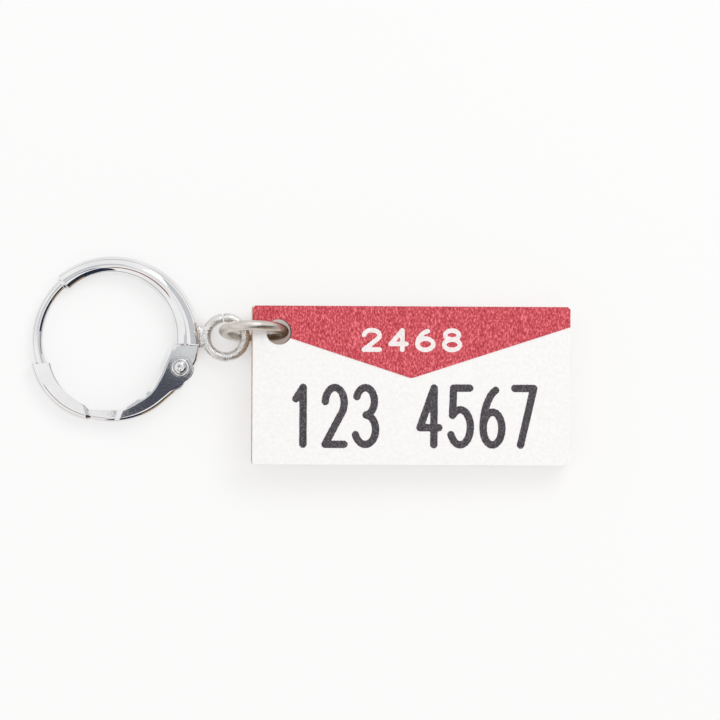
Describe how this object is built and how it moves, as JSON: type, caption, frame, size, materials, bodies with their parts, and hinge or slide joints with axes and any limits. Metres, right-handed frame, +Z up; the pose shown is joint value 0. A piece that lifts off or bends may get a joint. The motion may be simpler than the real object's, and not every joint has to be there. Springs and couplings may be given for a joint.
{
  "type": "stitch marker",
  "caption": "Stitch marker: a hinged leverback hoop that closes round a needle or stitch, with a jump ring and a flat printed wooden plate charm.",
  "frame": {"origin": "centre of the overall box, on the surface that the marker lies on", "axes": "+X along the plate, from the hoop to the plate's far end; +Z up, out of the printed face; +Y towards the plate's holed long edge"},
  "size_m": [0.0432, 0.0166, 0.0055],
  "materials": {
    "bright_plate": "mirror-polished rhodium-coloured plate on brass",
    "cast_plate": "as-cast, tool-marked plate",
    "nickel_wire": "dull nickel-plated wire",
    "cut_wood": "laser-cut, unsealed edge",
    "white_ink": "matt printed coat",
    "red_ink": "matt printed ink, finely speckled"
  },
  "bodies": {
    "hoop": {"front_arc": "bright_plate", "ear_wire": "bright_plate", "hinge_rivet": "bright_plate", "charm_loop": "cast_plate"},
    "lever": {"lever": "bright_plate"},
    "ring": {"jump_ring": "nickel_wire"},
    "charm": {"charm_blank": "cut_wood", "white_face": "white_ink", "red_field": "red_ink"}
  },
  "joints": [
    {"name": "lever_hinge", "type": "hinge", "parent": "hoop", "child": "lever", "pos_m": [-0.00954, -0.00059, 0.00123], "axis": [-0.0363, 0, 0.9993], "range_deg": [0, 75]},
    {"name": "ring_swing", "type": "hinge", "parent": "hoop", "child": "ring", "pos_m": [-0.0044, 0.00205, 0.00141], "axis": [0, -1, 0], "range_deg": [-90, 32]},
    {"name": "charm_swing", "type": "hinge", "parent": "ring", "child": "charm", "pos_m": [-0.0037, 0.00234, 0.00275], "axis": [0, -0.9781, 0.2079], "range_deg": [-3, 60]}
  ]
}
